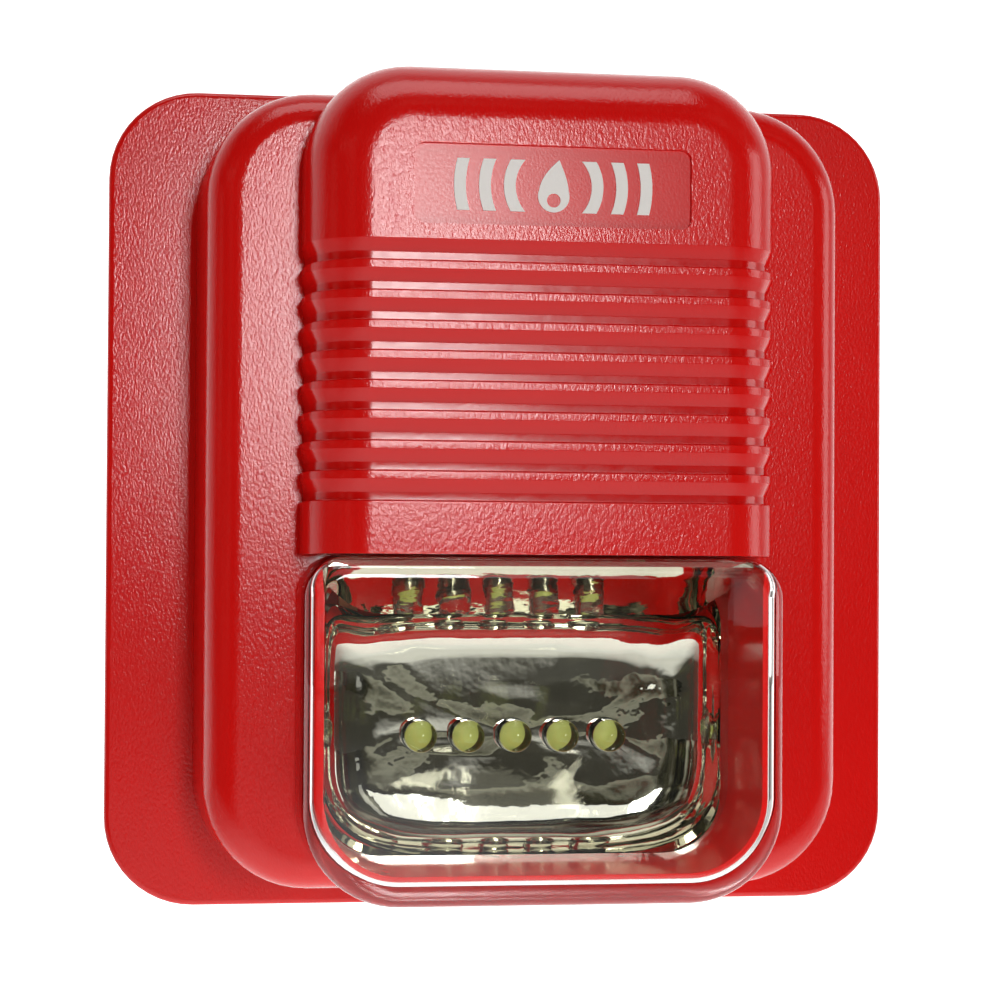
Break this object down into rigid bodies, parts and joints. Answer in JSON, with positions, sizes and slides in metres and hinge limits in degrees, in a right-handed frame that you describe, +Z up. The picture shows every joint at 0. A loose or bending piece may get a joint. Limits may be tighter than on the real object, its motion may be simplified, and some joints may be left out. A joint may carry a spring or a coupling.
{
  "type": "horn strobe",
  "caption": "Square wall-mounted fire alarm horn strobe: stepped red housing with a grooved tower above a clear lens, hooked on a mounting plate.",
  "frame": {"origin": "centre of the cable entry on the wall plane", "axes": "+Z up the wall, the front faces -Y, +X to the right of someone facing the front"},
  "size_m": [0.126, 0.046, 0.1278],
  "materials": {
    "red_plastic": "satin, fine spark texture",
    "white_print": "flat screen print",
    "clear_lens": "clear polished polycarbonate",
    "chromed_plastic": "vacuum metallised",
    "zinc_screw": "zinc plated",
    "spring_steel": "dark oiled",
    "lamp_board_laminate": "white solder mask",
    "board_laminate": "green solder mask",
    "tinned_metal": "tinned",
    "gold_plate": "gold flash",
    "capacitor_sleeve": "shrink sleeve",
    "ferrite": "matt ferrite",
    "copper_wire": "enamelled",
    "black_epoxy": "moulded epoxy",
    "blue_epoxy": "dipped epoxy",
    "switch_body": "moulded",
    "switch_lever": "moulded",
    "black_plastic": "moulded, matt",
    "brass_sheet": "rolled",
    "ceramic": "silvered ceramic",
    "black_wire": "insulation",
    "red_wire": "insulation",
    "green_plastic": "moulded",
    "copper_strip": "rolled",
    "bronze_spring": "rolled",
    "lamp_epoxy": "water clear"
  },
  "bodies": {
    "root": {"mounting_plate": "red_plastic", "terminal_block": "green_plastic", "bus_bar_left": "copper_strip", "bus_bar_right": "copper_strip", "contact_spring_left": "bronze_spring", "contact_spring_right": "bronze_spring"},
    "lock_runner": {"lock_clip": "spring_steel"},
    "lock_screw": {"lock_screw": "zinc_screw"},
    "clamp_screw_left": {"clamp_screw_left": "zinc_screw"},
    "clamp_screw_right": {"clamp_screw_right": "zinc_screw"},
    "clamp_cage_left": {"clamp_cage_left": "tinned_metal"},
    "clamp_cage_right": {"clamp_cage_right": "tinned_metal"},
    "front_unit": {"housing": "red_plastic", "legend": "white_print", "lens": "clear_lens", "reflector": "chromed_plastic", "reflector_screws": "zinc_screw", "lamp_board": "lamp_board_laminate", "lamp_board_screws": "zinc_screw", "lamp_1": "lamp_epoxy", "lamp_2": "lamp_epoxy", "lamp_3": "lamp_epoxy", "lamp_4": "lamp_epoxy", "lamp_5": "lamp_epoxy", "lamp_leads": "tinned_metal", "lamp_resistors": "black_epoxy", "main_board": "board_laminate", "main_board_screws": "zinc_screw", "contact_pads": "gold_plate", "capacitor": "capacitor_sleeve", "inductor_core": "ferrite", "inductor_coil": "copper_wire", "controller_chip": "black_epoxy", "transistor": "black_epoxy", "diodes": "black_epoxy", "resistors": "black_epoxy", "varistor": "blue_epoxy", "dip_switch": "switch_body", "sound_chamber": "black_plastic", "chamber_back": "black_plastic", "chamber_screws": "zinc_screw", "piezo_disc": "brass_sheet", "piezo_ceramic": "ceramic", "piezo_wires": "black_wire", "lamp_wires": "red_wire"},
    "dip_lever_1": {"dip_lever_1": "switch_lever"},
    "dip_lever_2": {"dip_lever_2": "switch_lever"}
  },
  "joints": [
    {"name": "front_swing", "type": "hinge", "parent": "root", "child": "front_unit", "pos_m": [0, -0.003, 0.05915], "axis": [-1, 0, 0], "range_deg": [0, 25]},
    {"name": "lock_travel", "type": "slide", "parent": "root", "child": "lock_runner", "axis": [0, 0, -1], "range_m": [0, 0.001]},
    {"name": "lock_turn", "type": "hinge", "parent": "lock_runner", "child": "lock_screw", "pos_m": [0, -0.006, -0.0618], "axis": [0, 0, 1], "range_deg": [0, 720]},
    {"name": "clamp_turn_left", "type": "hinge", "parent": "root", "child": "clamp_screw_left", "pos_m": [-0.0045, -0.0115, -0.04], "axis": [0, 1, 0], "range_deg": [0, 720]},
    {"name": "clamp_travel_left", "type": "slide", "parent": "root", "child": "clamp_cage_left", "axis": [0, -1, 0], "range_m": [0, 0.001]},
    {"name": "clamp_turn_right", "type": "hinge", "parent": "root", "child": "clamp_screw_right", "pos_m": [0.0045, -0.0115, -0.04], "axis": [0, 1, 0], "range_deg": [0, 720]},
    {"name": "clamp_travel_right", "type": "slide", "parent": "root", "child": "clamp_cage_right", "axis": [0, -1, 0], "range_m": [0, 0.001]},
    {"name": "dip_slide_1", "type": "slide", "parent": "front_unit", "child": "dip_lever_1", "axis": [0, 0, 1], "range_m": [0, 0.002]},
    {"name": "dip_slide_2", "type": "slide", "parent": "front_unit", "child": "dip_lever_2", "axis": [0, 0, 1], "range_m": [0, 0.002]}
  ],
  "couplings": [
    {"joint": "lock_turn", "follows": "lock_travel", "rad_per_m": 12566},
    {"joint": "clamp_turn_left", "follows": "clamp_travel_left", "rad_per_m": 12566},
    {"joint": "clamp_turn_right", "follows": "clamp_travel_right", "rad_per_m": 12566}
  ]
}
